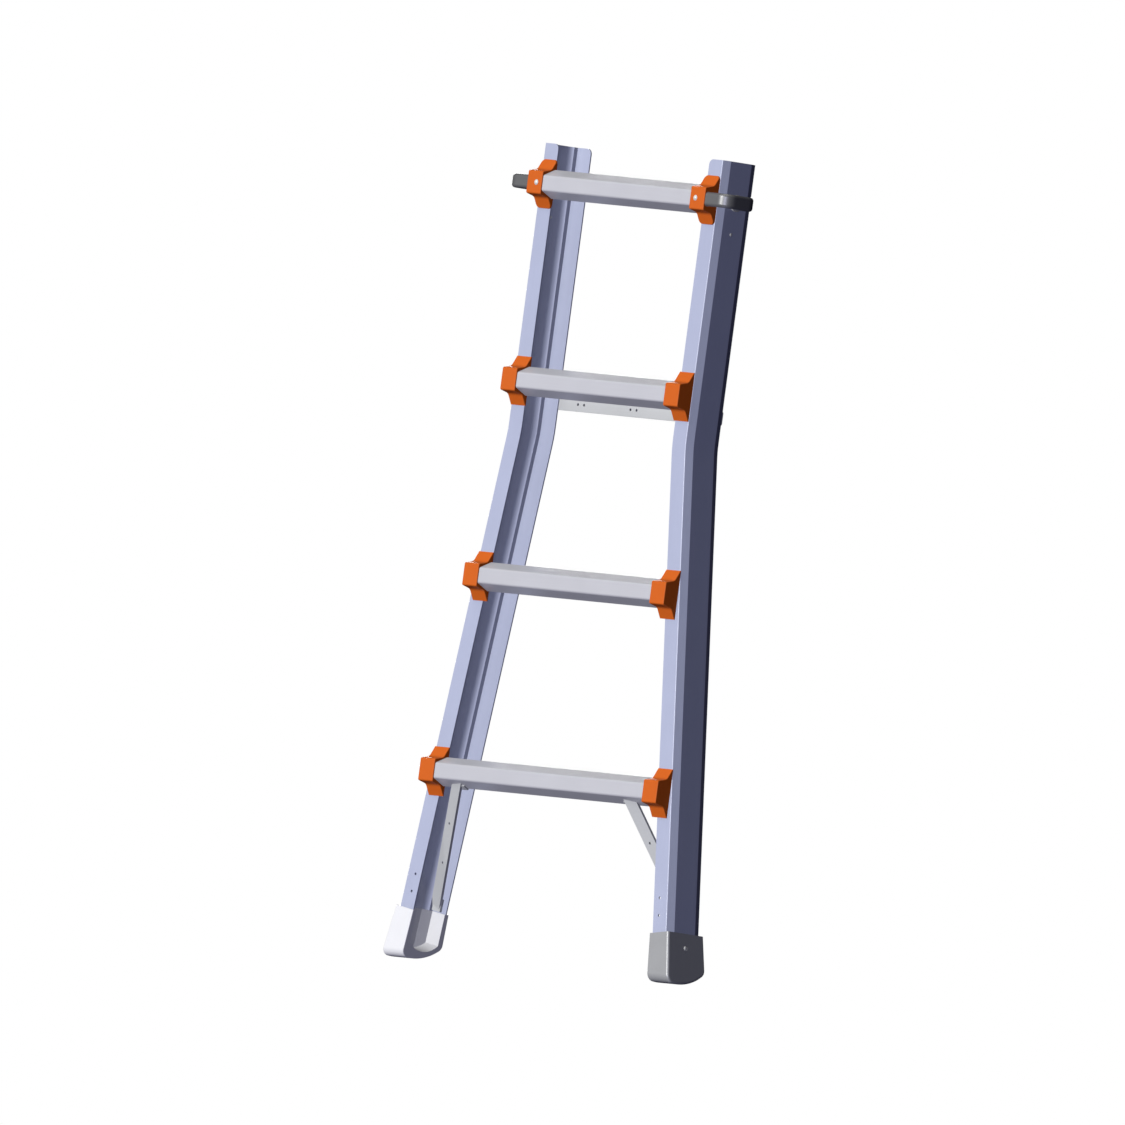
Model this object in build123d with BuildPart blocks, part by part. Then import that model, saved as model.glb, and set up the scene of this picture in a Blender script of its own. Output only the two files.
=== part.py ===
from build123d import *

import math
import os

# Base section of a telescopic ladder: two C-section stiles that are parallel at the top
# and flare outward below the second rung from the top, four rungs held in front of them by moulded
# brackets, two braces, a crossbar, rubber feet and two spring locks on the top rung.
# Millimetres, +Z up, +X to the ladder's right, the climber's side at -Y.
# Everything on the right is made first and mirrored in the YZ plane for the left.

# --- Ladder ---
rung_count = 4
rung_pitch = 280.0
first_rung_height = 266.0
stile_above_top_rung = 57.7
stile_spread = 385.0
bend_below_rung = 69.0
flare_angle = 7.77
bend_radius = 160.0

# --- Stile section, an open channel ---
stile_depth = 62.4
stile_wall = 2.0
front_flange = 32.8
rear_flange = 35.0
chamfer_in = 5.0
chamfer_back = 11.4
thickening = 4.5
thickening_flat = 6.6
cove_run = 9.8
stile_edge_radius = 1.3
flange_corner_radius = 8.0
stile_end_height = 22.0

# --- Rung ---
rung_depth = 22.2
rung_front_height = 21.5
rung_back_height = 42.6
rung_wall = 2.0
rung_corner_radius = 3.5
rung_back_corner_radius = 1.2
rung_seat = 1.2

# --- Bracket ---
bracket_width = 30.5
bracket_front_wall = 2.1
bracket_height = 69.5
bracket_boss_wall = 5.25
bracket_waist_wall = 2.6
bracket_waist_depth = 9.8
bracket_tip_depth = 1.4
bracket_end_wall = 3.0
bracket_waist_radius = 8.0
bracket_boss_radius = 2.5
bracket_edge_radius = 1.1
bracket_tab_corner = 6.0
flared_bracket_inset = 3.0
fit_clearance = 0.15

# --- Lock handle, its guide rod and its pin ---
finger_gap = 26.5
handle_thickness = 13.0
handle_height = 20.0
handle_edge = 4.5
handle_bend = 12.0
handle_front_inset = 1.8
handle_opening_clearance = 0.5
handle_end_gap = 0.3
lock_travel = 24.0
rod_radius = 3.0
rod_behind_front = 10.5
rod_socket = 14.0
running_clearance = 0.05
socket_clearance = 0.02
bush_length = 30.0
pin_radius = 6.0
pin_reach_in_channel = 22.5
pin_tang_radius = 4.0
pin_tang_length = 13.0
pin_chamfer = 1.5
rod_chamfer = 0.5
pin_bush_radius = 9.5
pin_bush_flange_radius = 12.0
pin_bush_flange = 2.5
pin_bush_edge = 0.8
pin_bush_lip_radius = 10.3
pin_bush_lip = 1.2
leg_gap_to_bush = 2.0

# --- Lock spring ---
spring_length = 50.0
spring_wire = 1.2
spring_turns = 9
spring_clearance = 0.5
retainer_radius = 5.0
retainer_thickness = 2.5

# --- Crossbar behind the rear flanges ---
crossbar_height = 20.0
crossbar_thickness = 4.0
crossbar_below_rung = 23.0
crossbar_overlap = 27.0
crossbar_rivet_shares = (0.3, 0.75)
crossbar_hole_radius = 2.0
crossbar_hole_spacing = 12.9
crossbar_pair_spacing = 111.0
crossbar_end_radius = 3.0

# --- Braces under the bottom rung ---
brace_width = 20.0
brace_thickness = 4.0
brace_hole_radius = 2.0
brace_top_in = 37.3
brace_top_share = 0.5315
brace_end_inset = 9.8
brace_end_rise = 48.4
brace_hole_shares = (0.308, 0.611)
brace_tab_width = 17.0
brace_tab_rise = (52.5, 70.9)
brace_tab_inset = 16.8
brace_wall_gap = 0.7
brace_top_rivet_in = 4.9
brace_ear_length = 10.0
brace_ear_width = 14.0
brace_ear_thickness = 2.0
brace_top_rivet_out = -8.0

# --- Feet ---
foot_height = 51.0
foot_wall = 2.8
foot_lining = 2.3
foot_inner_reach = 1.0
foot_side_draft = 4.2
foot_face_draft = 2.0
sole_radius = 85.0
sole_low_point = 14.0
sole_corner_radius = 11.0
foot_edge_radius = 3.4
foot_mouth_radius = 1.4
foot_floor_drop = 6.0
foot_floor_edge = 5.5
foot_overrun = 17.0
foot_rivet_rise = 30.0
foot_rivet_depth = 30.0

# --- Fasteners ---
rivet_shank = 2.4
rivet_head = 4.5
rivet_head_height = 1.2
rivet_tail = 3.4
rivet_tail_height = 1.6
rung_rivet_rise = 12.0
dome_head = 4.0
dome_height = 2.0
dome_shank = 2.0
dome_shank_in_bush = 0.6
bush_rivet_share = 0.63
stop_rivet_below = 45.0
stop_rivet_depth = 29.0
small_shank = 1.6
small_head = 2.5
small_head_height = 0.9
small_tail = 2.2
small_tail_height = 1.2
ear_rivet_head = 2.0
ear_rivet_head_height = 0.5
ear_rivet_tail = 1.8
ear_rivet_tail_height = 0.8
ear_rivet_shank = 1.3
foot_rivet_head = 3.2
foot_rivet_head_height = 1.4
spot_face_depth = 0.35
guide_hole_radius = 2.0
guide_hole_inset = 21.0
guide_hole_rises = (75.5, 100.4)

# --- Places worked out from the sizes above ---
half_spread = stile_spread / 2
handle_reach = half_spread + finger_gap + handle_thickness
bracket_depth = rung_seat + rung_depth + bracket_front_wall
bracket_boss_height = rung_front_height + 2 * bracket_boss_wall
# The rung's own height where it passes the bracket's waist, and the waist round it.
rung_taper = (rung_back_height - rung_front_height) / rung_depth
rung_waist_height = rung_back_height - rung_taper * (bracket_waist_depth - rung_seat)
bracket_waist_height = rung_waist_height + 2 * bracket_waist_wall
pin_depth = stile_depth / 2
rung_heights = [first_rung_height + i * rung_pitch for i in range(rung_count)]
top_rung_height = rung_heights[-1]
stile_top = top_rung_height + stile_above_top_rung
bend_height = rung_heights[-2] - bend_below_rung
crossbar_centre_height = rung_heights[-2] - crossbar_below_rung
flare = math.radians(flare_angle)

foot_top_height = stile_end_height + foot_height
face_draft = math.tan(math.radians(foot_face_draft))
foot_back = stile_depth + foot_wall


def sole_height(y_from_flange):
    """Height of the foot's curved sole, at a distance behind the flange face."""
    return sole_radius - math.sqrt(sole_radius**2 - (y_from_flange - sole_low_point) ** 2)


foot_widest_height = sole_height(foot_back) + sole_corner_radius
foot_back_reach = foot_back + (foot_top_height - foot_widest_height) * face_draft
front_reach = bracket_depth + dome_height
back_reach = max(stile_depth + crossbar_thickness + rivet_head_height, foot_back_reach)
# The climber's face of the front flanges, placed so that the box is centred on Y = 0.
flange_y = (front_reach - back_reach) / 2

end_x = half_spread + (bend_height - stile_end_height) * math.tan(flare)


os.makedirs("parts", exist_ok=True)


def across(y, z):
    """A plane square to X through (0, y, z), with its own x along +Y and its own y up."""
    return Plane(origin=(0, y, z), x_dir=(0, 1, 0), z_dir=(1, 0, 0))


def on_stile(out, rise):
    """World (x, z) of a point given from the stile's lower end, across and along the stile."""
    x = end_x + out * math.cos(flare) - rise * math.sin(flare)
    z = stile_end_height + out * math.sin(flare) + rise * math.cos(flare)
    return x, z


def stile_plane(rise):
    """A plane square to the flared stile, on the web's outer face, at a rise from its end."""
    x, z = on_stile(0, rise)
    up = (-math.sin(flare), 0, math.cos(flare))
    return Plane(origin=(x, flange_y, z), x_dir=(math.cos(flare), 0, math.sin(flare)), z_dir=up)


def web_x(height):
    """Where the web's outer face is at a height."""
    return half_spread + max(0.0, bend_height - height) * math.tan(flare)


def save(piece, name):
    """Name a finished piece and write it."""
    piece.part.label = name
    export_step(piece.part, f"parts/{name}.step")


def save_pair(piece, name):
    """Write the right-hand piece, and its mirror image as the left-hand one."""
    with BuildPart() as twin:
        mirror(piece.part, about=Plane.YZ)
    save(piece, f"right_{name}")
    save(twin, f"left_{name}")


def rivet(place, grip, shank, head, head_height, tail=0.0, tail_height=0.0):
    """A round-headed rivet in the part being built. The head sits on the plane, the shank
    runs down through the grip, and a set tail closes it where one is asked for."""
    side = Plane(origin=place.origin, x_dir=place.x_dir, z_dir=place.x_dir.cross(place.z_dir))
    with BuildSketch(side, mode=Mode.PRIVATE) as profile:
        with BuildLine():
            if tail > 0:
                Polyline(
                    (0, head_height),
                    (0, -grip - tail_height),
                    (tail, -grip - tail_height),
                    (tail, -grip),
                    (shank, -grip),
                    (shank, 0),
                    (head, 0),
                )
            else:
                Polyline((0, head_height), (0, -grip), (shank, -grip), (shank, 0), (head, 0))
            TangentArc((0, head_height), (head, 0), tangent=(1, 0))
        make_face()
    revolve(profile.sketch, axis=Axis(place.origin, place.z_dir))


def drill(place, radius, depth):
    """A blind or through hole, straight down from a plane."""
    with Locations(place):
        Hole(radius=radius, depth=depth)


# Planes that stand on a face at a point, with Z pointing out of the metal.
def facing_front(x, y, z):
    return Plane(origin=(x, y, z), x_dir=(1, 0, 0), z_dir=(0, -1, 0))


def facing_back(x, y, z):
    return Plane(origin=(x, y, z), x_dir=(1, 0, 0), z_dir=(0, 1, 0))


def facing_out(x, y, z):
    return Plane(origin=(x, y, z), x_dir=(0, 1, 0), z_dir=(1, 0, 0))


def facing_in(x, y, z):
    return Plane(origin=(x, y, z), x_dir=(0, 1, 0), z_dir=(-1, 0, 0))


# --- Outlines that more than one piece uses ---
def rung_outline(grow):
    """The rung's section: a short front, two long sloping facets and a tall flat back.
    Local x runs to the back from the flange face, local y up."""
    back = -rung_seat
    front = back - rung_depth
    with BuildSketch() as outline:
        with BuildLine():
            Polyline(
                (front, -rung_front_height / 2),
                (back, -rung_back_height / 2),
                (back, rung_back_height / 2),
                (front, rung_front_height / 2),
                close=True,
            )
        make_face()
        fillet(outline.vertices().group_by(Axis.X)[0], rung_corner_radius)
        fillet(outline.vertices().group_by(Axis.X)[-1], rung_back_corner_radius)
        if grow != 0:
            offset(amount=grow, kind=Kind.INTERSECTION, mode=Mode.REPLACE)
    return outline.sketch


def stile_outline(grow):
    """The channel's section, from the web's outer face at x = 0 inward to -x, front to +y."""
    wall_x = -stile_wall - thickening
    back = stile_depth - stile_wall
    cove_front = stile_wall + thickening_flat
    cove_back = back - thickening_flat
    with BuildSketch() as outline:
        with BuildLine():
            Polyline(
                (wall_x, cove_front),
                (wall_x, stile_wall),
                (-front_flange, stile_wall),
                (-front_flange, 0),
                (-chamfer_in, 0),
                (0, chamfer_back),
                (0, stile_depth - chamfer_back),
                (-chamfer_in, stile_depth),
                (-rear_flange, stile_depth),
                (-rear_flange, back),
                (wall_x, back),
                (wall_x, cove_back),
            )
            TangentArc((-stile_wall, cove_back - cove_run), (wall_x, cove_back), tangent=(0, 1))
            Line((-stile_wall, cove_front + cove_run), (-stile_wall, cove_back - cove_run))
            TangentArc((-stile_wall, cove_front + cove_run), (wall_x, cove_front), tangent=(0, -1))
        make_face()
        corners = outline.vertices().filter_by(lambda v: v.X > -chamfer_in - 0.01)
        outer_corners = corners.filter_by(lambda v: v.X > -0.01 or v.Y in (0, stile_depth))
        fillet(outer_corners, stile_edge_radius)
        if grow != 0:
            offset(amount=grow, kind=Kind.INTERSECTION, mode=Mode.REPLACE)
    return outline.sketch


# --- Stiles ---
def rung_rivet_places(height):
    """The two (x, z) places on one stile where a rung is riveted to the front flange."""
    outer = bracket_outer_x(height)
    x = outer - bracket_width / 2
    return [(x, height - rung_rivet_rise), (x, height + rung_rivet_rise)]


def bracket_outer_x(height):
    """The bracket's outer side: over the flange corner, drawn in a little on the flare."""
    inset = 0.0 if height > bend_height else flared_bracket_inset
    return web_x(height) - chamfer_in - inset


def crossbar_rivet_places():
    """The two (x, z) places where the crossbar is riveted to the right-hand rear flange."""
    inner = half_spread - rear_flange
    return [(inner + crossbar_overlap * share, crossbar_centre_height)
            for share in crossbar_rivet_shares]


brace_rivet_x, brace_rivet_z = on_stile(-brace_tab_inset, sum(brace_tab_rise) / 2)

with BuildPart() as right_stile:
    with BuildLine() as route:
        FilletPolyline(
            (half_spread, flange_y, stile_top),
            (half_spread, flange_y, bend_height),
            (end_x, flange_y, stile_end_height),
            radius=bend_radius,
        )
    with BuildSketch(Plane(origin=(half_spread, flange_y, stile_top))):
        add(stile_outline(0))
    sweep()
    flange_ends = right_stile.edges().filter_by(Axis.Y).group_by(Axis.Z)[-1]
    fillet(flange_ends.filter_by(lambda e: e.center().X < half_spread - front_flange + 0.1),
           flange_corner_radius)
    drill(facing_out(half_spread, flange_y + pin_depth, top_rung_height),
          pin_bush_radius + socket_clearance, stile_wall + thickening)
    drill(facing_out(half_spread, flange_y + stop_rivet_depth, top_rung_height - stop_rivet_below),
          small_shank + socket_clearance, stile_wall + thickening)
    for height in rung_heights:
        for x, z in rung_rivet_places(height):
            drill(facing_front(x, flange_y, z), rivet_shank + socket_clearance, 2 * stile_wall)
    for x, z in crossbar_rivet_places():
        drill(facing_back(x, flange_y + stile_depth, z), rivet_shank + socket_clearance, 2 * stile_wall)
    for rise in guide_hole_rises:
        x, z = on_stile(-guide_hole_inset, rise)
        drill(facing_front(x, flange_y, z), guide_hole_radius, 2 * stile_wall)
    drill(facing_back(brace_rivet_x, flange_y + stile_depth, brace_rivet_z),
          rivet_shank + socket_clearance, 2 * stile_wall)
    foot_rivet_plane = stile_plane(foot_rivet_rise)
    foot_rivet_out = Plane(
        origin=foot_rivet_plane.origin + Vector(0, foot_rivet_depth, 0),
        x_dir=(0, 1, 0),
        z_dir=foot_rivet_plane.x_dir,
    )
    drill(foot_rivet_out, small_shank + socket_clearance, stile_wall + thickening)
save_pair(right_stile, "stile")

# --- Where the braces meet the bottom rung ---
facet_rise = (rung_back_height - rung_front_height) / 2
bracket_inner_x = bracket_outer_x(first_rung_height) - bracket_width
brace_top = (bracket_inner_x - brace_top_in, -rung_seat - brace_top_share * rung_depth)
facet_angle = math.atan2(facet_rise, rung_depth)


def facet_z(y_from_flange):
    """Height of the bottom rung's lower facet, at a distance in front of the flange face."""
    run = -rung_seat - y_from_flange
    return first_rung_height - rung_back_height / 2 + facet_rise * run / rung_depth


def brace_rivet_plane(side):
    """The plane on the brace's upper tab where its rivet's head sits, facing down."""
    y = -rung_seat - brace_top_rivet_in
    down = (0, -math.sin(facet_angle), -math.cos(facet_angle))
    x = side * (brace_top[0] + brace_top_rivet_out)
    return Plane(origin=(x, flange_y + y, facet_z(y)), x_dir=(1, 0, 0), z_dir=down)


# --- Rungs ---
rung_names = ["bottom", "third", "second", "top"]
rung_places = list(zip(rung_names, rung_heights))


def bush_rivet_x(height):
    """Where the dome-headed rivet stands on the top brackets: near the boss's middle."""
    return bracket_outer_x(height) - bracket_width * bush_rivet_share


for rung_name, height in rung_places:
    half_length = bracket_outer_x(height) - bracket_end_wall
    with BuildPart() as rung:
        with BuildSketch(across(flange_y, height)):
            add(rung_outline(0))
            add(rung_outline(-rung_wall), mode=Mode.SUBTRACT)
        extrude(amount=half_length, both=True)
        for side in (-1, 1):
            for x, z in rung_rivet_places(height):
                drill(facing_back(side * x, flange_y - rung_seat, z),
                      rivet_shank + socket_clearance, 2 * rung_wall)
            if height == top_rung_height:
                drill(facing_front(side * bush_rivet_x(height), flange_y - rung_seat - rung_depth, height),
                      dome_shank + socket_clearance, 2 * rung_wall)
            if height == first_rung_height:
                drill(brace_rivet_plane(side), ear_rivet_shank + socket_clearance, 2 * rung_wall)
    save(rung, f"{rung_name}_rung")

# --- Brackets ---
arm_y = flange_y - bracket_depth + handle_front_inset + handle_thickness / 2
rod_y = flange_y - bracket_depth + rod_behind_front
pin_y = flange_y + pin_depth


def make_bracket(height):
    """A moulded end cap: a boss round the rung's end and two tabs on the stile's flange."""
    outer_x = bracket_outer_x(height)
    is_top = height == top_rung_height
    with BuildPart() as bracket:
        with BuildSketch(across(flange_y, height).offset(outer_x)) as outline:
            with BuildLine():
                Polyline(
                    (0, bracket_height / 2),
                    (-bracket_tip_depth, bracket_height / 2),
                    (-bracket_waist_depth, bracket_waist_height / 2),
                    (-bracket_depth, bracket_boss_height / 2),
                    (-bracket_depth, -bracket_boss_height / 2),
                    (-bracket_waist_depth, -bracket_waist_height / 2),
                    (-bracket_tip_depth, -bracket_height / 2),
                    (0, -bracket_height / 2),
                    close=True,
                )
            make_face()
            fillet(outline.vertices().group_by(Axis.X)[1], bracket_waist_radius)
            fillet(outline.vertices().group_by(Axis.X)[0], bracket_boss_radius)
        extrude(amount=-bracket_width)
        if is_top:
            middle_x = outer_x - bracket_width / 2
            with BuildSketch(Plane(origin=(middle_x, flange_y, height), x_dir=(1, 0, 0), z_dir=(0, -1, 0))):
                RectangleRounded(bracket_width, bracket_height, bracket_tab_corner)
            extrude(amount=bracket_depth, mode=Mode.INTERSECT)
        sides = bracket.edges().filter_by(lambda e: e.center().Y < flange_y - bracket_tip_depth - 0.01)
        fillet(sides.group_by(Axis.X)[0] + sides.group_by(Axis.X)[-1], bracket_edge_radius)
        with BuildSketch(across(flange_y, height).offset(outer_x - bracket_width)):
            add(rung_outline(fit_clearance))
        extrude(amount=bracket_width - bracket_end_wall, mode=Mode.SUBTRACT)
        for x, z in rung_rivet_places(height):
            drill(facing_back(x, flange_y, z), rivet_shank + socket_clearance, 2 * rung_seat)
        if is_top:
            with BuildSketch(across(arm_y, height).offset(outer_x)):
                RectangleRounded(handle_thickness + 2 * handle_opening_clearance,
                                 handle_height + 2 * handle_opening_clearance,
                                 handle_edge + handle_opening_clearance)
            extrude(amount=-bracket_end_wall, mode=Mode.SUBTRACT)
            drill(facing_front(bush_rivet_x(height), flange_y - bracket_depth, height),
                  dome_shank + socket_clearance, bracket_depth - rung_depth - rung_seat + rung_wall)
    return bracket


for rung_name, height in rung_places:
    save_pair(make_bracket(height), f"{rung_name}_bracket")

# --- Spring locks on the top rung ---
arm_end_x = bracket_outer_x(top_rung_height) - bracket_end_wall + handle_end_gap
bar_x = handle_reach - handle_thickness / 2
bush_outer_x = arm_end_x - handle_end_gap
bush_inner_x = bush_outer_x - bush_length
retainer_x = bush_inner_x - spring_length
pin_bush_outer_x = half_spread + pin_bush_flange
leg_end_x = pin_bush_outer_x + leg_gap_to_bush
channel_x = half_spread - stile_wall
pin_tip_x = channel_x - pin_reach_in_channel

with BuildPart() as lock_handle:
    with BuildLine() as handle_route:
        FilletPolyline(
            (arm_end_x, arm_y, top_rung_height),
            (bar_x, arm_y, top_rung_height),
            (bar_x, pin_y, top_rung_height),
            (leg_end_x, pin_y, top_rung_height),
            radius=handle_bend,
        )
    with BuildSketch(across(arm_y, top_rung_height).offset(arm_end_x)):
        RectangleRounded(handle_thickness, handle_height, handle_edge)
    sweep()
    drill(facing_in(arm_end_x, rod_y, top_rung_height), rod_radius + socket_clearance, rod_socket)
    drill(facing_in(leg_end_x, pin_y, top_rung_height), pin_tang_radius + socket_clearance, pin_tang_length)
save_pair(lock_handle, "lock_handle")

with BuildPart() as guide_rod:
    with BuildSketch(across(rod_y, top_rung_height).offset(retainer_x - retainer_thickness)):
        Circle(rod_radius)
    extrude(amount=arm_end_x + rod_socket - retainer_x + retainer_thickness)
    chamfer(guide_rod.edges().filter_by(GeomType.CIRCLE), rod_chamfer)
save_pair(guide_rod, "guide_rod")

with BuildPart() as lock_pin:
    with BuildSketch(across(pin_y, top_rung_height).offset(pin_tip_x)):
        Circle(pin_radius)
    extrude(amount=leg_end_x - pin_tip_x)
    with BuildSketch(across(pin_y, top_rung_height).offset(leg_end_x)):
        Circle(pin_tang_radius)
    extrude(amount=pin_tang_length)
    chamfer(lock_pin.edges().filter_by(GeomType.CIRCLE).group_by(Axis.X)[0], pin_chamfer)
save_pair(lock_pin, "lock_pin")

with BuildPart() as guide_bush:
    with BuildSketch(across(flange_y, top_rung_height).offset(bush_inner_x)):
        add(rung_outline(-rung_wall - fit_clearance))
    extrude(amount=bush_length)
    drill(facing_in(bush_inner_x, rod_y, top_rung_height), rod_radius + running_clearance, bush_length)
    bush_front = flange_y - rung_seat - rung_depth + rung_wall + fit_clearance
    drill(facing_front(bush_rivet_x(top_rung_height), bush_front, top_rung_height),
          dome_shank + socket_clearance, dome_shank_in_bush + fit_clearance)
    for x, z in rung_rivet_places(top_rung_height):
        drill(facing_back(x, flange_y - rung_seat - rung_wall - fit_clearance, z),
              rivet_tail + fit_clearance, rivet_tail_height)
save_pair(guide_bush, "guide_bush")

with BuildPart() as lock_spring:
    spring_radius = rod_radius + spring_clearance + spring_wire / 2
    spring_run = spring_length - spring_wire
    coil_start = (retainer_x + spring_wire / 2, rod_y, top_rung_height)
    with BuildLine() as coil:
        Helix(spring_run / spring_turns, spring_run, spring_radius, center=coil_start, direction=(1, 0, 0))
    with BuildSketch(Plane(origin=coil.line @ 0, z_dir=coil.line % 0)):
        Circle(spring_wire / 2)
    sweep(is_frenet=True)
save_pair(lock_spring, "lock_spring")

with BuildPart() as spring_retainer:
    with BuildSketch(across(rod_y, top_rung_height).offset(retainer_x - retainer_thickness)):
        Circle(retainer_radius)
        Circle(rod_radius + socket_clearance, mode=Mode.SUBTRACT)
    extrude(amount=retainer_thickness)
save_pair(spring_retainer, "spring_retainer")

with BuildPart() as pin_bush:
    with BuildSketch(across(pin_y, top_rung_height).offset(channel_x - pin_bush_lip)):
        Circle(pin_bush_lip_radius)
    extrude(amount=pin_bush_lip)
    with BuildSketch(across(pin_y, top_rung_height).offset(channel_x)):
        Circle(pin_bush_radius)
    extrude(amount=stile_wall)
    with BuildSketch(across(pin_y, top_rung_height).offset(half_spread)):
        Circle(pin_bush_flange_radius)
    extrude(amount=pin_bush_flange)
    flange_rim = pin_bush.edges().filter_by(GeomType.CIRCLE).group_by(Axis.X)[-1]
    fillet(flange_rim, pin_bush_edge)
    drill(facing_out(pin_bush_outer_x, pin_y, top_rung_height), pin_radius + running_clearance,
          2 * stile_depth)
save_pair(pin_bush, "pin_bush")

with BuildPart() as bush_rivets:
    for side in (-1, 1):
        place = facing_front(side * bush_rivet_x(top_rung_height), flange_y - bracket_depth, top_rung_height)
        depth = bracket_depth - rung_seat - rung_depth + rung_wall + fit_clearance + dome_shank_in_bush
        rivet(place, depth, dome_shank, dome_head, dome_height)
save(bush_rivets, "bush_rivets")

# --- Crossbar ---
with BuildPart() as crossbar:
    length = stile_spread - 2 * (rear_flange - crossbar_overlap)
    bar_face = facing_back(0, flange_y + stile_depth, crossbar_centre_height)
    with BuildSketch(bar_face):
        RectangleRounded(length, crossbar_height, crossbar_end_radius)
    extrude(amount=crossbar_thickness)
    hole_face = bar_face.offset(crossbar_thickness)
    for pair in (-1, 0, 1):
        for hole in (-0.5, 0.5):
            x = pair * crossbar_pair_spacing + hole * crossbar_hole_spacing
            drill(facing_back(x, hole_face.origin.Y, crossbar_centre_height), crossbar_hole_radius,
                  crossbar_thickness)
    for side in (-1, 1):
        for x, z in crossbar_rivet_places():
            drill(facing_back(side * x, hole_face.origin.Y, z), rivet_shank + socket_clearance,
                  crossbar_thickness)
save(crossbar, "rear_crossbar")

# --- Braces ---
top_point = Vector(brace_top[0], flange_y + brace_top[1], facet_z(brace_top[1]))
brace_end_x, brace_end_z = on_stile(-brace_end_inset, brace_end_rise)
end_point = Vector(brace_end_x, flange_y + stile_depth - stile_wall, brace_end_z)
drop = end_point - top_point
along = drop.normalized()
wide = Vector(0, 1, 0).cross(along) * -1
wide = wide.normalized()
brace_face = along.cross(wide)
if brace_face.Y > 0:
    brace_face = brace_face * -1


def brace_point(share):
    """The middle of the brace's front face, at a share of the way down it."""
    return top_point + drop * share


with BuildPart() as brace:
    with BuildSketch(Plane(origin=brace_point(1 / 2), x_dir=along, z_dir=brace_face)):
        Rectangle(drop.length + 4 * brace_thickness, brace_width)
    extrude(amount=-brace_thickness)
    facet_plane = Plane(origin=top_point, x_dir=(1, 0, 0), z_dir=brace_rivet_plane(1).z_dir)
    split(bisect_by=facet_plane, keep=Keep.TOP)
    inner_flange = facing_back(0, flange_y + stile_depth - stile_wall, 0)
    split(bisect_by=inner_flange, keep=Keep.BOTTOM)
    wall_plane = Plane(origin=stile_plane(0).origin, z_dir=stile_plane(0).x_dir)
    split(bisect_by=wall_plane.offset(-stile_wall - thickening - brace_wall_gap), keep=Keep.BOTTOM)
    split(bisect_by=stile_plane(brace_tab_rise[0]), keep=Keep.TOP)
    tab_x, tab_z = on_stile(-brace_tab_inset, sum(brace_tab_rise) / 2)
    tab_face = Plane(
        origin=(tab_x, flange_y + stile_depth - stile_wall, tab_z),
        x_dir=stile_plane(0).x_dir,
        z_dir=(0, -1, 0),
    )
    with BuildSketch(tab_face):
        Rectangle(brace_tab_width, brace_tab_rise[1] - brace_tab_rise[0])
    extrude(amount=brace_thickness)
    ear_y = -rung_seat - brace_ear_length / 2
    ear_x = brace_top[0] + brace_top_rivet_out
    ear_plane = Plane(
        origin=(ear_x, flange_y + ear_y, facet_z(ear_y)),
        x_dir=(1, 0, 0),
        z_dir=brace_rivet_plane(1).z_dir,
    )
    with BuildSketch(ear_plane):
        Rectangle(brace_ear_width, brace_ear_length)
    extrude(amount=brace_ear_thickness)
    for share in brace_hole_shares:
        drill(Plane(origin=brace_point(share), z_dir=brace_face), brace_hole_radius, 2 * brace_thickness)
    drill(facing_back(tab_x, flange_y + stile_depth - stile_wall, tab_z),
          rivet_shank + socket_clearance, brace_thickness)
    drill(brace_rivet_plane(1).offset(brace_ear_thickness), ear_rivet_shank + socket_clearance,
          brace_ear_thickness)
save_pair(brace, "brace")

# --- Feet ---
end_plane = stile_plane(0)
side_draft = math.tan(math.radians(foot_side_draft))
foot_inner = rear_flange + foot_inner_reach
below_sole = stile_end_height + foot_height / 2
lined = stile_wall + foot_lining
rivet_out = foot_wall + (foot_height - foot_rivet_rise) * side_draft - spot_face_depth

with BuildPart() as foot_hollow:
    with BuildSketch(end_plane.offset(-foot_floor_drop)):
        with BuildLine():
            Polyline(
                (-foot_inner - foot_wall, lined),
                (-lined - thickening, lined),
                (-lined, lined + thickening_flat + cove_run),
                (-lined, stile_depth - lined - thickening_flat - cove_run),
                (-lined - thickening, stile_depth - lined),
                (-foot_inner - foot_wall, stile_depth - lined),
                close=True,
            )
        make_face()
    extrude(amount=foot_floor_drop + foot_height + foot_overrun)
    with BuildSketch(Plane(origin=end_plane.origin, x_dir=(0, 1, 0), z_dir=end_plane.x_dir)):
        with BuildLine():
            Polyline(
                (lined, foot_floor_edge),
                (lined, foot_height + foot_overrun),
                (stile_depth - lined, foot_height + foot_overrun),
                (stile_depth - lined, foot_floor_edge),
            )
            ThreePointArc(
                (lined, foot_floor_edge),
                (stile_depth / 2, -foot_floor_drop),
                (stile_depth - lined, foot_floor_edge),
            )
        make_face()
    extrude(amount=foot_inner + 2 * foot_wall, both=True, mode=Mode.INTERSECT)

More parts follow.
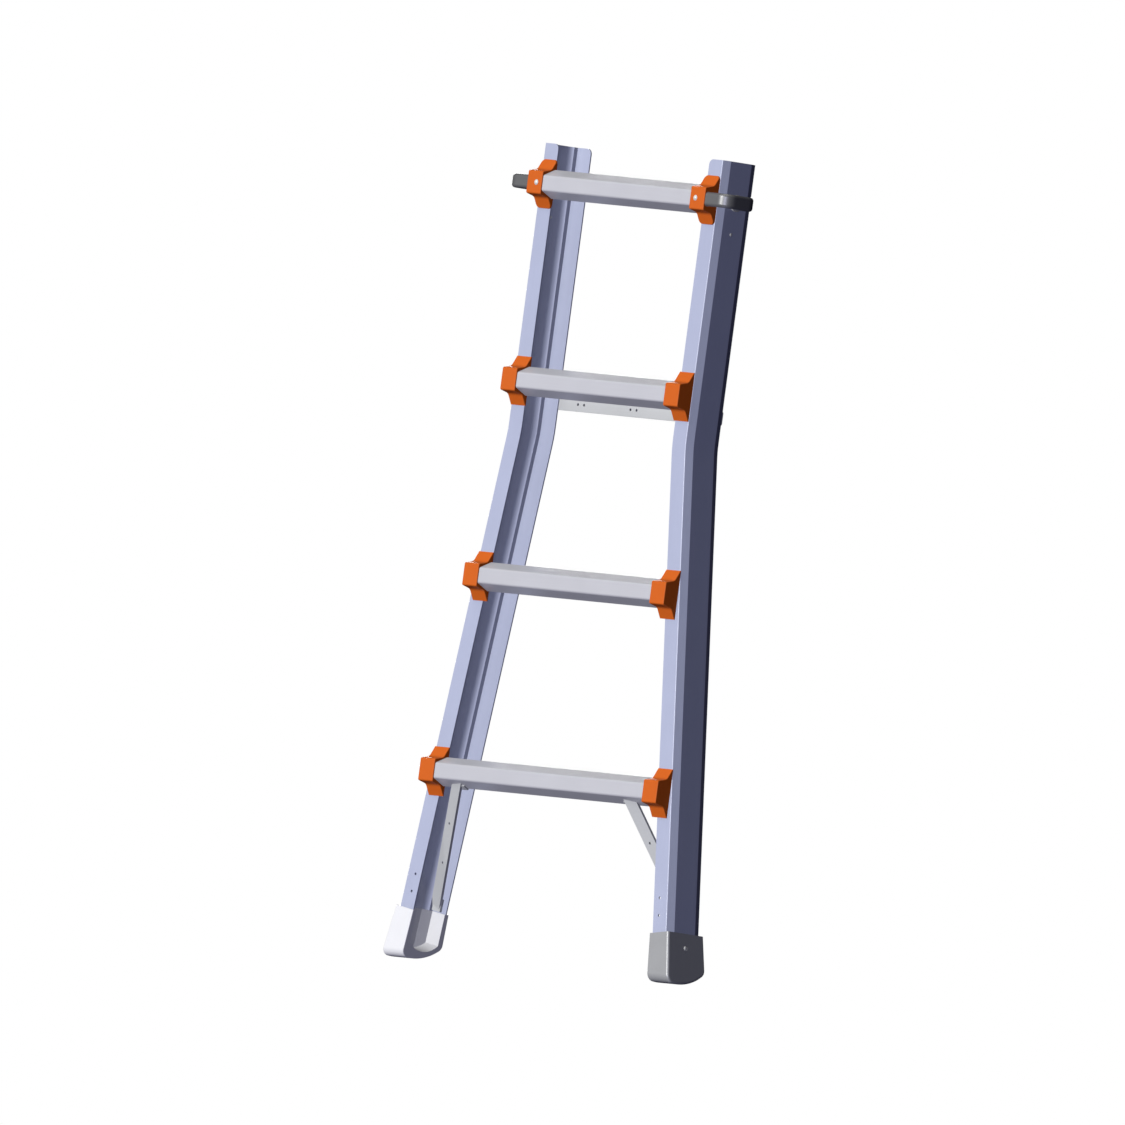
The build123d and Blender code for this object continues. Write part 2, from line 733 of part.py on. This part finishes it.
with BuildPart() as foot:
    with BuildSketch(Plane.XZ):
        with BuildLine():
            Polyline(
                on_stile(-foot_inner, foot_height),
                on_stile(foot_wall, foot_height),
                on_stile(foot_wall + (foot_height + below_sole) * side_draft, -below_sole),
                on_stile(-foot_inner, -below_sole),
                close=True,
            )
        make_face()
    extrude(amount=stile_depth, both=True)
    with BuildSketch(Plane.YZ) as side_view:
        front_y = -foot_wall
        lean = foot_top_height * face_draft
        rise = foot_height * face_draft
        with BuildLine():
            Polyline(
                (flange_y + front_y - lean, sole_height(front_y - lean)),
                (flange_y + front_y + rise, foot_top_height + foot_height),
                (flange_y + foot_back - rise, foot_top_height + foot_height),
                (flange_y + foot_back + lean, sole_height(foot_back + lean)),
            )
            ThreePointArc(
                (flange_y + front_y - lean, sole_height(front_y - lean)),
                (flange_y + sole_low_point, 0),
                (flange_y + foot_back + lean, sole_height(foot_back + lean)),
            )
        make_face()
        low_corners = side_view.vertices().filter_by(lambda v: v.Y < foot_top_height)
        fillet(low_corners, sole_corner_radius)
    extrude(amount=2 * end_x, mode=Mode.INTERSECT)
    outer_side = foot.faces().sort_by(Axis.X)[-1]
    fillet(outer_side.edges().sort_by(Axis.Z)[:-1], foot_edge_radius)
    inner_side = foot.faces().sort_by(Axis.X)[0]
    fillet(inner_side.edges().sort_by(Axis.Z)[:-1], foot_mouth_radius)
    with BuildSketch(end_plane):
        add(stile_outline(fit_clearance))
    extrude(amount=foot_height + foot_overrun, mode=Mode.SUBTRACT)
    add(foot_hollow.part, mode=Mode.SUBTRACT)
    outside = foot_rivet_out.offset(2 * foot_wall + rivet_out)
    drill(outside, foot_rivet_head + fit_clearance, 2 * foot_wall)
    drill(outside, small_shank + socket_clearance, 2 * foot_wall + rivet_out + lined)
save_pair(foot, "foot")

with BuildPart() as foot_rivet:
    rivet(foot_rivet_out.offset(rivet_out), rivet_out + lined, small_shank, foot_rivet_head,
          foot_rivet_head_height, small_tail, small_tail_height)
save_pair(foot_rivet, "foot_rivet")

# --- Rivets that hold the rungs, the crossbar, the braces and the stops ---
with BuildPart() as rung_rivets:
    for height in rung_heights:
        for x, z in rung_rivet_places(height):
            rivet(facing_back(x, flange_y + stile_wall, z), stile_wall + rung_seat + rung_wall,
                  rivet_shank, rivet_head, rivet_head_height, rivet_tail, rivet_tail_height)
save_pair(rung_rivets, "rung_rivets")

with BuildPart() as crossbar_rivets:
    for side in (-1, 1):
        for x, z in crossbar_rivet_places():
            rivet(facing_back(side * x, flange_y + stile_depth + crossbar_thickness, z),
                  crossbar_thickness + stile_wall, rivet_shank, rivet_head, rivet_head_height)
save(crossbar_rivets, "crossbar_rivets")

with BuildPart() as brace_rivets:
    rivet(facing_back(tab_x, flange_y + stile_depth, tab_z), stile_wall + brace_thickness,
          rivet_shank, rivet_head, rivet_head_height)
    rivet(brace_rivet_plane(1).offset(brace_ear_thickness), brace_ear_thickness + rung_wall,
          ear_rivet_shank, ear_rivet_head, ear_rivet_head_height, ear_rivet_tail, ear_rivet_tail_height)
save_pair(brace_rivets, "brace_rivets")

with BuildPart() as stop_rivets:
    for side in (-1, 1):
        place_x = side * half_spread
        place_z = top_rung_height - stop_rivet_below
        if side > 0:
            place = facing_out(place_x, flange_y + stop_rivet_depth, place_z)
        else:
            place = facing_in(place_x, flange_y + stop_rivet_depth, place_z)
        rivet(place, stile_wall, small_shank, small_head, small_head_height, small_tail, small_tail_height)
save(stop_rivets, "stop_rivets")

print("front flange face at Y", flange_y)
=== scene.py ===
# %% [markdown]
# # Telescopic ladder, base section
# Two open aluminium channels carry four hollow rungs in orange end brackets. Two braces, a
# crossbar, two moulded feet and two spring locks finish it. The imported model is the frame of
# everything here: its pieces stay where they are, and this script gives them their looks.

# %% Load the frame
import math

import bpy
from mathutils import Matrix, Vector


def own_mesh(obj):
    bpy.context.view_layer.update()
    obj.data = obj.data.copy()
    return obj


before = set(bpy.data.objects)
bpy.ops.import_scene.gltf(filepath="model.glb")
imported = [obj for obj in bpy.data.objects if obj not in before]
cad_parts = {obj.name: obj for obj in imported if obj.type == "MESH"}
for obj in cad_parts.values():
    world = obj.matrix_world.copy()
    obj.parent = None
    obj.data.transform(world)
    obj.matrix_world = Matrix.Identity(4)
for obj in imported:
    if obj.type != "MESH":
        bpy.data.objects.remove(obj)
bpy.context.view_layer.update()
scene = bpy.context.scene

# %% [markdown]
# ## The named values
# Every tone and size that a reader may want to change stands here. The channels are mill
# finished alloy with a cool cast, the rungs are a little warmer and brighter, and the brackets,
# feet and handles are moulded plastics. Tones are linear.

# %% Named values
STILE_TONE = (0.545, 0.585, 0.755)
RUNG_TONE = (0.675, 0.675, 0.70)
BAR_TONE = (0.63, 0.64, 0.63)
ORANGE_TONE = (0.735, 0.143, 0.015)
FOOT_WHITE_TONE = (0.98, 0.98, 0.97)
FOOT_GREY_TONE = (0.425, 0.43, 0.425)
HANDLE_TONE = (0.150, 0.150, 0.148)
NYLON_TONE = (0.62, 0.61, 0.57)
STEEL_TONE = (0.50, 0.50, 0.51)
RIVET_TONE = (0.86, 0.86, 0.80)
FLOOR_TONE = (0.86, 0.86, 0.86)

ALLOY_IOR = 2.0
PLASTIC_IOR = 1.5
SEMI_GLOSS_IOR = 2.1
SPECULAR = 0.5

DRAWN_FINE = 900.0
DRAWN_LONG = 7.0
GRAIN_SCALE = 1700.0
CLOUD_SCALE = 18.0
FLOW_SCALE = CLOUD_SCALE * 2
WEAR_SCALE = CLOUD_SCALE * 6

LINE_DEPTH = 0.0002
GRAIN_DEPTH = 0.0003
MARK_DEPTH = 0.0002
LINE_TILT = 0.10
MARK_TILT = 0.06

# Every noise runs from 0 to 1 about this middle.
MIDDLE = 0.5

# How much each noise counts in the tone, and how far the tone goes down and up.
LINE_SHARE, CLOUD_SHARE = 0.45, 0.55
GRAIN_SHARE, FLOW_SHARE = 0.3, 0.7
ALLOY_DARK, ALLOY_LIGHT = 0.93, 1.06
PLASTIC_DARK, PLASTIC_LIGHT = 0.94, 1.05
METAL_DARK, METAL_LIGHT = 0.90, 1.06
FLOOR_DARK, FLOOR_LIGHT = 0.98, 1.02

# How far each noise moves the roughness from end to end.
LINE_ROUGH, CLOUD_ROUGH = 0.12, 0.10
GRAIN_ROUGH, FLOW_ROUGH = 0.10, 0.06
MARK_ROUGH = 0.12

FLOOR_HALF_WIDTH = 4.0
FLOOR_SCALE = 6.0
FLOOR_ROUGHNESS = 0.7
BACKDROP = (1.0, 1.0, 1.0)
AMBIENT = (0.35, 0.35, 1.0)
AMBIENT_LEVEL = 0.012
print("alloy tones", STILE_TONE, RUNG_TONE, BAR_TONE)


# %% [markdown]
# ## A small wrapper for shader arithmetic
# Node trees are easier to read as sums. This class holds one output socket and turns ordinary
# arithmetic into nodes, so a finish below reads like the rule that it follows.


# %% Shader wrapper
class Value:
    """One output socket of a node tree. Arithmetic on it adds the nodes that work it out."""

    def __init__(self, tree, socket):
        self.tree = tree
        self.socket = socket

    def node(self, kind, inputs=(), output=0, **settings):
        """Add a node of any kind to the same tree, fill its inputs, and return an output."""
        made = self.tree.nodes.new(kind)
        for key, setting in settings.items():
            setattr(made, key, setting)
        for key, value in dict(inputs).items():
            if isinstance(value, Value):
                self.tree.links.new(value.socket, made.inputs[key])
            else:
                made.inputs[key].default_value = value
        return Value(self.tree, made.outputs[output])

    def math(self, operation, left, right):
        """One arithmetic node on two values or numbers."""
        return self.node("ShaderNodeMath", {0: left, 1: right}, operation=operation)

    def __add__(self, other):
        return self.math("ADD", self, other)

    def __radd__(self, other):
        return self.math("ADD", other, self)

    def __sub__(self, other):
        return self.math("SUBTRACT", self, other)

    def __mul__(self, other):
        return self.math("MULTIPLY", self, other)

    def stretched(self, scales):
        """The same coordinates, scaled separately along each axis."""
        return self.node("ShaderNodeVectorMath", {0: self, 1: scales}, operation="MULTIPLY")

    def noise(self, scale, detail=3.0):
        """Smooth noise from 0 to 1 at these coordinates."""
        inputs = {"Vector": self, "Scale": scale, "Detail": detail}
        return self.node("ShaderNodeTexNoise", inputs, output="Fac")

    def tone(self, dark, light):
        """A colour between two tones, where this value is the share of the light one."""
        inputs = {0: self, 6: (*dark, 1.0), 7: (*light, 1.0)}
        return self.node("ShaderNodeMix", inputs, output=2, data_type="RGBA")

    def bump(self, strength, distance):
        """A normal that rises and falls with this value."""
        inputs = {"Strength": strength, "Distance": distance, "Height": self}
        return self.node("ShaderNodeBump", inputs, output="Normal")


def scaled(tone, share):
    """A tone made darker or lighter by one share."""
    return tuple(min(1.0, channel * share) for channel in tone)


def new_material(name):
    """An empty material, and the object coordinates inside it in metres."""
    material = bpy.data.materials.new(name)
    material.use_nodes = True
    tree = material.node_tree
    tree.nodes.clear()
    coordinates = tree.nodes.new("ShaderNodeTexCoord")
    return material, Value(tree, coordinates.outputs["Object"])


def close_material(material, place, color, roughness, normal, constants):
    """Join colour, roughness and normal to one Principled surface with these constants."""
    inputs = {"Base Color": color, "Roughness": roughness, "Normal": normal}
    inputs.update(constants)
    surface = place.node("ShaderNodeBsdfPrincipled", inputs, output="BSDF")
    output = material.node_tree.nodes.new("ShaderNodeOutputMaterial")
    material.node_tree.links.new(surface.socket, output.inputs["Surface"])
    return material


print("wrapper ready")

# %% [markdown]
# ## Drawn alloy
# An extrusion carries faint lines along its length from the die, and slow clouds from handling
# and oxide. The lines come from noise squeezed across the section and stretched along it. They
# change roughness and tilt the surface slightly, which is what breaks up a highlight on metal.


# %% Drawn alloy
def drawn_alloy(name, tone, along, roughness):
    """Alloy with die lines along one axis, and clouds.

    Tone: the sum of lines times their share and clouds times theirs goes from dark to light.
    Roughness: the given one, plus what lines and clouds each stand above their middle, times
    how far each may move it.
    """
    material, place = new_material(name)
    scales = [DRAWN_FINE] * 3
    scales["XYZ".index(along)] = DRAWN_LONG
    lines = place.stretched(tuple(scales)).noise(1.0, detail=2.0)
    clouds = place.noise(CLOUD_SCALE, detail=4.0)
    share = lines * LINE_SHARE + clouds * CLOUD_SHARE
    color = share.tone(scaled(tone, ALLOY_DARK), scaled(tone, ALLOY_LIGHT))
    rough = roughness + (lines - MIDDLE) * LINE_ROUGH + (clouds - MIDDLE) * CLOUD_ROUGH
    normal = lines.bump(LINE_TILT, LINE_DEPTH)
    constants = {"Metallic": 0.0, "Specular IOR Level": SPECULAR, "IOR": ALLOY_IOR}
    return close_material(material, place, color, rough, normal, constants)


stile_alloy = drawn_alloy("stile_alloy", STILE_TONE, "Z", 0.36)
rung_alloy = drawn_alloy("rung_alloy", RUNG_TONE, "X", 0.34)
bar_alloy = drawn_alloy("bar_alloy", BAR_TONE, "X", 0.48)
print("alloys", stile_alloy.name, rung_alloy.name, bar_alloy.name)

# %% [markdown]
# ## Moulded plastic
# Glass filled nylon and polypropylene come out of the tool with a fine spark-eroded grain. The
# grain is small noise in the surface, and a slower noise stands for flow marks in the colour.


# %% Moulded plastic
def moulded_plastic(name, tone, roughness, grain, specular=SPECULAR, ior=PLASTIC_IOR):
    """Plastic with a fine tool grain, and slow flow marks.

    Tone: the sum of grain times its share and flow times its share goes from dark to light.
    Roughness: the given one, plus what grain and flow each stand above their middle, times how
    far each may move it.
    """
    material, place = new_material(name)
    fine = place.noise(GRAIN_SCALE, detail=1.0)
    flow = place.noise(FLOW_SCALE, detail=3.0)
    share = fine * GRAIN_SHARE + flow * FLOW_SHARE
    color = share.tone(scaled(tone, PLASTIC_DARK), scaled(tone, PLASTIC_LIGHT))
    rough = roughness + (fine - MIDDLE) * GRAIN_ROUGH + (flow - MIDDLE) * FLOW_ROUGH
    normal = fine.bump(grain, GRAIN_DEPTH)
    constants = {"Metallic": 0.0, "Specular IOR Level": specular, "IOR": ior}
    return close_material(material, place, color, rough, normal, constants)


bracket_orange = moulded_plastic("bracket_orange", ORANGE_TONE, 0.50, 0.05, specular=0.22)
foot_white = moulded_plastic("foot_white", FOOT_WHITE_TONE, 0.40, 0.05)
foot_grey = moulded_plastic("foot_grey", FOOT_GREY_TONE, 0.38, 0.02, ior=SEMI_GLOSS_IOR)
handle_grey = moulded_plastic("handle_grey", HANDLE_TONE, 0.38, 0.02, ior=SEMI_GLOSS_IOR)
bush_nylon = moulded_plastic("bush_nylon", NYLON_TONE, 0.45, 0.08, specular=0.45)
print("plastics", bracket_orange.name, foot_white.name, foot_grey.name, handle_grey.name)

# %% [markdown]
# ## Bright steel and rivets
# The pins, rods and springs are plated steel, and the rivets are bright aluminium. Both have
# small tool marks with no main direction.


# %% Bright metal
def bright_metal(name, tone, roughness, metallic):
    """Turned or headed metal. Its wear slides the tone from dark to light.

    Roughness: the given one, plus what the marks stand above their middle, times how far they
    may move it.
    """
    material, place = new_material(name)
    marks = place.noise(GRAIN_SCALE, detail=3.0)
    wear = place.noise(WEAR_SCALE, detail=2.0)
    color = wear.tone(scaled(tone, METAL_DARK), scaled(tone, METAL_LIGHT))
    rough = roughness + (marks - MIDDLE) * MARK_ROUGH
    normal = marks.bump(MARK_TILT, MARK_DEPTH)
    constants = {"Metallic": metallic, "Specular IOR Level": SPECULAR}
    return close_material(material, place, color, rough, normal, constants)


steel = bright_metal("steel", STEEL_TONE, 0.30, 0.6)
rivet_bright = bright_metal("rivet_bright", RIVET_TONE, 0.32, 0.1)
print("metals", steel.name, rivet_bright.name)

# %% [markdown]
# ## Give every piece its finish
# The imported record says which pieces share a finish, but a rule on the names is shorter to read:
# the first word found in a piece's name settles it.

# %% Finishes by piece
FINISHES = [
    ("left_foot_rivet", rivet_bright),
    ("right_foot_rivet", rivet_bright),
    ("left_foot", foot_white),
    ("right_foot", foot_grey),
    ("crossbar_rivets", stile_alloy),
    ("rivets", rivet_bright),
    ("bracket", bracket_orange),
    ("handle", handle_grey),
    ("bush", bush_nylon),
    ("spring", steel),
    ("rod", steel),
    ("pin", steel),
    ("stile", stile_alloy),
    ("rung", rung_alloy),
    ("crossbar", bar_alloy),
    ("brace", bar_alloy),
]


def finish_of(name):
    """The first finish whose word is in the piece's name."""
    for word, material in FINISHES:
        if word in name:
            return material
    raise ValueError(f"no finish for {name}")


for node_name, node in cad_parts.items():
    node.data.materials.clear()
    node.data.materials.append(finish_of(node_name))
    print(node_name, "->", finish_of(node_name).name)

# %% [markdown]
# ## Lock springs
# Each spring stands between a washer on the lock's rod and the bush in the end of the rung. The
# rod slides outward by the lock's travel, so the spring shortens by as much. Here each spring
# only gets a mesh of its own; its imported shape is not changed.

for side, outward in (("left", -1), ("right", 1)):
    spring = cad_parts[f"{side}_lock_spring"]
    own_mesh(spring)

# %% [markdown]
# ## Floor, world and lights
# A pale floor, a white backdrop and large soft lights, as in a small product studio. The main
# light stands in front, a little to the left and above, so that faces turned to the climber are
# bright and the sides fall away. A cool fill reaches the right-hand sides.


# %% Studio
def floor_material():
    """A pale floor that is clear when looked at from underneath."""
    material, place = new_material("floor_pale")
    share = place.noise(FLOOR_SCALE, detail=2.0)
    color = share.tone(scaled(FLOOR_TONE, FLOOR_DARK), scaled(FLOOR_TONE, FLOOR_LIGHT))
    inputs = {"Base Color": color, "Roughness": FLOOR_ROUGHNESS}
    paint = place.node("ShaderNodeBsdfPrincipled", inputs, output="BSDF")
    clear = place.node("ShaderNodeBsdfTransparent", output="BSDF")
    under = place.node("ShaderNodeNewGeometry", output="Backfacing")
    mixed = place.node("ShaderNodeMixShader", {0: under, 1: paint, 2: clear})
    output = material.node_tree.nodes.new("ShaderNodeOutputMaterial")
    material.node_tree.links.new(mixed.socket, output.inputs["Surface"])
    return material


def make_floor(half_width):
    """A square floor at the height of the soles."""
    mesh = bpy.data.meshes.new("floor")
    corners = [(-half_width, -half_width, 0), (half_width, -half_width, 0)]
    corners += [(half_width, half_width, 0), (-half_width, half_width, 0)]
    mesh.from_pydata(corners, [], [(0, 1, 2, 3)])
    mesh.materials.append(floor_material())
    floor = bpy.data.objects.new("floor", mesh)
    scene.collection.objects.link(floor)
    floor.visible_shadow = False
    floor.visible_diffuse = False
    floor.visible_glossy = False
    return floor


make_floor(FLOOR_HALF_WIDTH)


def make_world(backdrop, ambient, strength):
    """White where the camera looks past the ladder, and a low even light elsewhere."""
    world = bpy.data.worlds.new("studio")
    world.use_nodes = True
    tree = world.node_tree
    tree.nodes.clear()
    path = tree.nodes.new("ShaderNodeLightPath")
    seen = Value(tree, path.outputs["Is Camera Ray"])
    low = seen.node("ShaderNodeBackground", {"Color": (*ambient, 1.0), "Strength": strength})
    white = seen.node("ShaderNodeBackground", {"Color": (*backdrop, 1.0), "Strength": 1.0})
    mixed = seen.node("ShaderNodeMixShader", {0: seen, 1: low, 2: white})
    output = tree.nodes.new("ShaderNodeOutputWorld")
    tree.links.new(mixed.socket, output.inputs["Surface"])
    return world


def make_sun(name, toward, level, tone, spread, shadows):
    """A soft distant light. The level is what a white face square to it would show."""
    data = bpy.data.lights.new(name, type="SUN")
    data.energy = level * math.pi
    data.color = tone
    data.angle = math.radians(spread)
    data.use_shadow = shadows
    lamp = bpy.data.objects.new(name, data)
    lamp.rotation_mode = "QUATERNION"
    lamp.rotation_quaternion = Vector(toward).to_track_quat("Z", "Y")
    scene.collection.objects.link(lamp)
    return lamp


scene.world = make_world(BACKDROP, AMBIENT, AMBIENT_LEVEL)
# Each row: name, direction towards the light, level, tone, spread in degrees, casts shadows.
SUNS = [
    ("key", (-0.12, -0.95, 0.17), 0.64, (1.0, 1.0, 0.985), 16.0, False),
    ("key_grounded", (-0.15, -0.75, 0.64), 0.14, (1.0, 1.0, 1.0), 16.0, True),
    ("fill", (0.463, -0.886, 0.0), 0.30, (0.76, 0.77, 1.0), 20.0, False),
    ("top", (-0.1, -0.15, 0.98), 0.19, (1.0, 1.0, 0.97), 30.0, True),
    ("below", (0.05, -0.25, -0.96), 0.08, (0.6, 0.6, 1.0), 40.0, False),
    ("rear", (-0.78, 0.60, 0.18), 0.40, (1.0, 1.0, 1.0), 20.0, True),
]
for row in SUNS:
    make_sun(*row)
scene.view_settings.view_transform = "Standard"
scene.view_settings.look = "None"
scene.view_settings.exposure = 0.0
scene.view_settings.gamma = 1.0
scene.cycles.diffuse_bounces = 0
print("studio ready")

# %% [markdown]
# ## Camera
# A long lens far away sees parallel edges as parallel, so the camera has no perspective. It
# stands at the height of the middle rungs, half way round to the right, and leans slightly.

# %% Camera
AIM = Vector((-0.0370, -0.02005, 0.5763))
CAMERA_RIGHT = Vector((0.66624, 0.73413, 0.13064))
CAMERA_UP = Vector((-0.06559, -0.1168, 0.99098))
CAMERA_BACK = Vector((0.74282, -0.66884, -0.02967))
CAMERA_DISTANCE = 4.0
CAMERA_WIDTH = 1.5865
CAMERA_REACH = 30.0

camera_data = bpy.data.cameras.new("camera")
camera_data.type = "ORTHO"
camera_data.ortho_scale = CAMERA_WIDTH
camera_data.clip_end = CAMERA_REACH
camera = bpy.data.objects.new("camera", camera_data)
turn = Matrix((CAMERA_RIGHT, CAMERA_UP, CAMERA_BACK)).transposed()
camera.matrix_world = Matrix.Translation(AIM + CAMERA_BACK * CAMERA_DISTANCE) @ turn.to_4x4()
scene.collection.objects.link(camera)
scene.camera = camera
print("camera at", tuple(round(c, 3) for c in camera.location))
